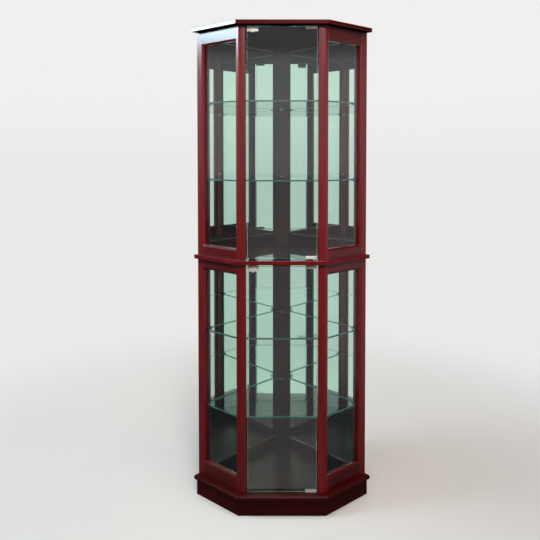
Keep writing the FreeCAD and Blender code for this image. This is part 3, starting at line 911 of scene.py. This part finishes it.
# shelf clips: plate on the post, tongue with a web under the glass, nib over it, and a peg
shelfClip = {
    "width": 0.012,
    "plate": 0.0025,
    "drop": 0.006,
    "tongue": 0.010,
    "tongueThick": 0.0025,
    "tongueCorner": (0.003, 4),
    "nib": 0.002,
    "endGap": 0.0005,
    "glass": 0.005,
    "plateCorner": (0.0012, 3),
    "arris": (0.0003, 1),
    "pegRadius": 0.0025,
    "pegLength": 0.007,
    "pegLap": 0.0002,           # into the plate
    "pegSides": 20,
    "pegArris": (0.0004, 1, 60),
    "levels": (1.224, 1.515, 0.346, 0.640),     # undersides of the shelves
    # place on the post, and the way the clip faces in plan
    "spots": (
        ((0.139, -0.19258), (0, 1)), ((-0.139, -0.19258), (0, 1)),
        ((0.28002, -0.0620), (-0.96892, -0.24739)), ((-0.28002, -0.0620), (0.96892, -0.24739)),
        ((0, 0.19429), (0, -1)),
    ),
}


def makeShelfClips():
    # modelled facing +Y with the glass's underside at zero
    half = shelfClip["width"] / 2
    foot = -shelfClip["drop"]
    head = shelfClip["glass"] + shelfClip["nib"]
    clip = startBox("shelfClip", (-half, 0, foot), (half, shelfClip["plate"], head))
    editMode(clip)
    for level in (-shelfClip["tongueThick"], 0, shelfClip["glass"]):
        sliceAt(clip, (0, 0, level), (0, 0, 1))
    underside = -shelfClip["tongueThick"]
    pickFaces(clip, lambda middle, normal: normal.y > straight and underside < middle.z < 0)
    pushOut((0, shelfClip["tongue"], 0))
    pickFaces(clip, lambda middle, normal: normal.y > straight and middle.z > shelfClip["glass"])
    pushOut((0, shelfClip["endGap"] + shelfClip["nib"], 0))
    bpy.ops.mesh.select_mode(type="EDGE")
    reach = shelfClip["plate"] + shelfClip["tongue"]
    pickEdges(clip, lambda middle, along: abs(along.z) > straight and abs(middle.y - reach) < near)
    roundEdges(*shelfClip["tongueCorner"])
    pickEdges(clip, lambda middle, along: abs(along.y) > straight
              and not foot + near < middle.z < head - near)
    roundEdges(*shelfClip["plateCorner"])
    objectMode()
    softenEdges(clip, *shelfClip["arris"])
    lap = shelfClip["pegLap"]
    peg = startRod("peg", (0, lap, foot / 2), shelfClip["pegRadius"], shelfClip["pegLength"] + lap,
                   (0, -1, 0), shelfClip["pegSides"])
    softenEdges(peg, *shelfClip["pegArris"])
    model = joinPieces([clip, peg], "shelfClipModel")
    dress(model, clearPlastic)
    places = []
    for level in shelfClip["levels"]:
        for (x, y), (faceX, faceY) in shelfClip["spots"]:
            turn = Matrix.Rotation(math.atan2(-faceX, faceY), 4, "Z")
            places.append(Matrix.Translation((x, y, level)) @ turn)
    made = repeatPiece(model, places, "shelfClips")
    smoothByAngle(made)
    settle(made, "root", "clip_plastic", "shelf_clips")


for stageName in stages:
    makePane(stageName)
    makeStrikePlate(stageName)
    makeLatchBody(stageName)
    makeLatchPlunger(stageName)
makeHingeClips()
makeLatchScrews()
makeShelfClips()
print("doors and fittings modelled")


# studio
room = {
    "floorSize": 60.0,
    "floorDrop": 0.0005,                 # below the cabinet's foot
    "floorColor": (0.96, 0.89, 0.83),
    "floorMottle": (2.0, 3.0),           # scale and detail
    "floorPlaces": (0.3, 0.7),           # of its darker and its full tone
    "floorDarker": 0.97,
    "floorBounce": (0.30, 0.295, 0.285),  # what it sheds back on the cabinet
    "floorRoughness": 0.55,
    "floorShine": 0.2,
    "fade": (0.5, 2.3),                  # floor passes into the backdrop, metres from the cabinet
    "glow": (0.235, 0.243, 0.25),        # what the world sheds on the cabinet
    # backdrop at eye level and above it, seen directly
    "paleHorizon": (0.82, 0.82, 0.81),
    "paleWall": (0.87, 0.87, 0.86),
    # the same two in mirrors and through glass
    "horizon": (0.68, 0.69, 0.68),
    "wall": (0.83, 0.83, 0.815),
    # shown by gloss alone: a bright band, what is above and below it, and the floor
    "bright": (0.90, 0.95, 0.98),
    "ceiling": (0.06, 0.06, 0.06),
    "skirting": (0.13, 0.135, 0.14),     # and the floor in front
    # painted shade on the floor beside the cabinet, shown in gloss
    "sideFloor": (0.06, 0.10, 0.10),     # beside the cabinet
    "rightFloor": (0.50, 0.47, 0.48),    # far off on the right
    "besideFrom": (0.45, 0.75),          # where front passes into side, sine of the bearing
    # where the backdrop changes, sines of elevation
    "wallRise": (-0.05, 0.10),
    "brightFoot": (-0.045, -0.025),
    "brightHead": (0.150, 0.178),
}


def pathSeen(tree):
    # 1 for rays that see the backdrop, for those that gloss alone sends, and for the camera's own
    path = tree.nodes.new("ShaderNodeLightPath")
    direct = path.outputs["Is Camera Ray"]
    passed = path.outputs["Is Transmission Ray"]
    glossy = path.outputs["Is Glossy Ray"]        # also 1 for rays that pass through glass
    seen = combine(tree, "MAXIMUM", combine(tree, "MAXIMUM", direct, passed), glossy)
    return seen, combine(tree, "GREATER_THAN", glossy, passed), direct


def makeFloor():
    bpy.ops.object.select_all(action="DESELECT")
    bpy.ops.mesh.primitive_plane_add(size=room["floorSize"], location=(0, 0, -room["floorDrop"]))
    floor = bpy.context.object
    floor.name = "studioFloor"
    made, tree, shader = newMaterial("paleFloor")
    coords = objectCoords(tree)
    seen, gloss, direct = pathSeen(tree)
    darker = tuple(part * room["floorDarker"] for part in room["floorColor"])
    spots = noise(tree, coords, *room["floorMottle"])
    mottled = ramp(tree, spots, room["floorPlaces"], (darker, room["floorColor"]))
    feedShader(tree, shader, {
        "Base Color": mixColor(tree, seen, room["floorBounce"], mottled),
        "Roughness": room["floorRoughness"],
        "Specular IOR Level": room["floorShine"],
    })
    distance = tree.nodes.new("ShaderNodeVectorMath")
    distance.operation = "LENGTH"
    tree.links.new(coords, distance.inputs[0])
    away = distance.outputs["Value"]
    fade = easeBetween(tree, away, *room["fade"])
    bearing = combine(tree, "DIVIDE", partAlong(tree, coords, "X"), away)
    onRight, onLeft = (easeBetween(tree, bearing, *(side * limit for limit in room["besideFrom"]))
                       for side in (1, -1))
    # a pane's inner face reflects too: one bounce or more, and at most in and out of the glass
    path = tree.nodes.new("ShaderNodeLightPath")
    inAndOut = combine(tree, "LESS_THAN", path.outputs["Transmission Depth"], 2.5)
    bounced = combine(tree, "GREATER_THAN", path.outputs["Glossy Depth"], 0.5)
    inner = combine(tree, "MULTIPLY", combine(tree, "MULTIPLY", inAndOut, bounced),
                    combine(tree, "ADD", onRight, onLeft))
    gloss = combine(tree, "MAXIMUM", gloss, inner)
    # in gloss the floor shows painted shade at the sides, and is bright far off on the right
    right = mixColor(tree, fade, room["sideFloor"], room["rightFloor"])
    shine = mixColor(tree, onRight, room["skirting"], right)
    shine = mixColor(tree, onLeft, shine, room["sideFloor"])
    # far from the cabinet the floor is the backdrop
    backdrop = mixColor(tree, direct, room["horizon"], room["paleHorizon"])
    far = tree.nodes.new("ShaderNodeEmission")
    tree.links.new(mixColor(tree, gloss, backdrop, shine), far.inputs["Color"])
    isFar = combine(tree, "MULTIPLY", combine(tree, "MAXIMUM", fade, gloss), seen)
    surface = tree.nodes["Material Output"].inputs["Surface"]
    mixShader(tree, isFar, shader.outputs[0], far.outputs[0], surface)
    floor.data.materials.append(made)


def makeWorld():
    world = bpy.data.worlds.new("studio")
    bpy.context.scene.world = world
    world.use_nodes = True
    tree = world.node_tree
    tree.nodes.clear()
    output = tree.nodes.new("ShaderNodeOutputWorld")
    coords = tree.nodes.new("ShaderNodeTexCoord")
    height = partAlong(tree, coords.outputs["Generated"], "Z")
    rise, bandFoot, bandHead = (easeBetween(tree, height, *room[line])
                                for line in ("wallRise", "brightFoot", "brightHead"))
    wall = mixColor(tree, rise, room["horizon"], room["wall"])
    pale = mixColor(tree, rise, room["paleHorizon"], room["paleWall"])
    band = mixColor(tree, bandFoot, room["skirting"], room["bright"])
    band = mixColor(tree, bandHead, band, room["ceiling"])
    seen, gloss, direct = pathSeen(tree)
    shown = mixColor(tree, direct, mixColor(tree, gloss, wall, band), pale)
    glow = tree.nodes.new("ShaderNodeBackground")
    glow.inputs["Color"].default_value = room["glow"] + (1.0,)
    backdrop = tree.nodes.new("ShaderNodeBackground")
    tree.links.new(shown, backdrop.inputs["Color"])
    mixShader(tree, seen, glow.outputs[0], backdrop.outputs[0], output.inputs["Surface"])


softboxes = {
    "window": {
        "at": (-2.27, -0.45, 2.26), "aim": (0, -0.2, 1.7), "size": (1.0, 0.25),
        "power": 38, "spread": 180, "tint": (0.62, 0.86, 1.0),
    },
    "key": {
        "at": (0.4, -3.2, 3.2), "aim": (0, -0.2, 1.25), "size": (1.2, 0.9),
        "power": 7.5, "spread": 40, "tint": (1.0, 0.99, 0.97),
    },
    "overhead": {
        "at": (0.3, -0.85, 4.2), "aim": (0.3, -0.8, 0), "size": (2.4, 1.6),
        "power": 62, "spread": 180, "tint": (1.0, 0.98, 0.96),
    },
}


def makeSoftbox(name, box):
    data = bpy.data.lights.new(name, "AREA")
    data.shape = "RECTANGLE"
    data.size, data.size_y = box["size"]
    data.energy = box["power"]
    data.color = box["tint"]
    data.spread = math.radians(box["spread"])
    lamp = bpy.data.objects.new(name, data)
    bpy.context.scene.collection.objects.link(lamp)
    lamp.location = box["at"]
    aim = Vector(box["aim"]) - Vector(box["at"])
    lamp.rotation_euler = aim.to_track_quat("-Z", "Y").to_euler()


viewpoint = {
    "at": (-0.0109, -2.3863, 1.3194),
    "tilt": 2.01,                            # degrees below level
    "focal": 600.9 / 540.0,                  # focal length over frame width
    "shift": (-9.1 / 540.0, -93.6 / 540.0),
    "sensor": 36.0,
    "clipEnd": 200.0,
}


def makeCamera():
    data = bpy.data.cameras.new("viewpoint")
    camera = bpy.data.objects.new("viewpoint", data)
    bpy.context.scene.collection.objects.link(camera)
    bpy.context.scene.camera = camera
    data.sensor_fit = "HORIZONTAL"
    data.sensor_width = viewpoint["sensor"]
    data.lens = viewpoint["sensor"] * viewpoint["focal"]
    data.shift_x, data.shift_y = viewpoint["shift"]
    data.clip_end = viewpoint["clipEnd"]
    camera.location = viewpoint["at"]
    camera.rotation_euler = (math.radians(90 - viewpoint["tilt"]), 0, 0)


makeFloor()
makeWorld()
for boxName, boxFacts in softboxes.items():
    makeSoftbox(boxName, boxFacts)
makeCamera()
bpy.context.scene.view_settings.view_transform = "Standard"
print("studio set")
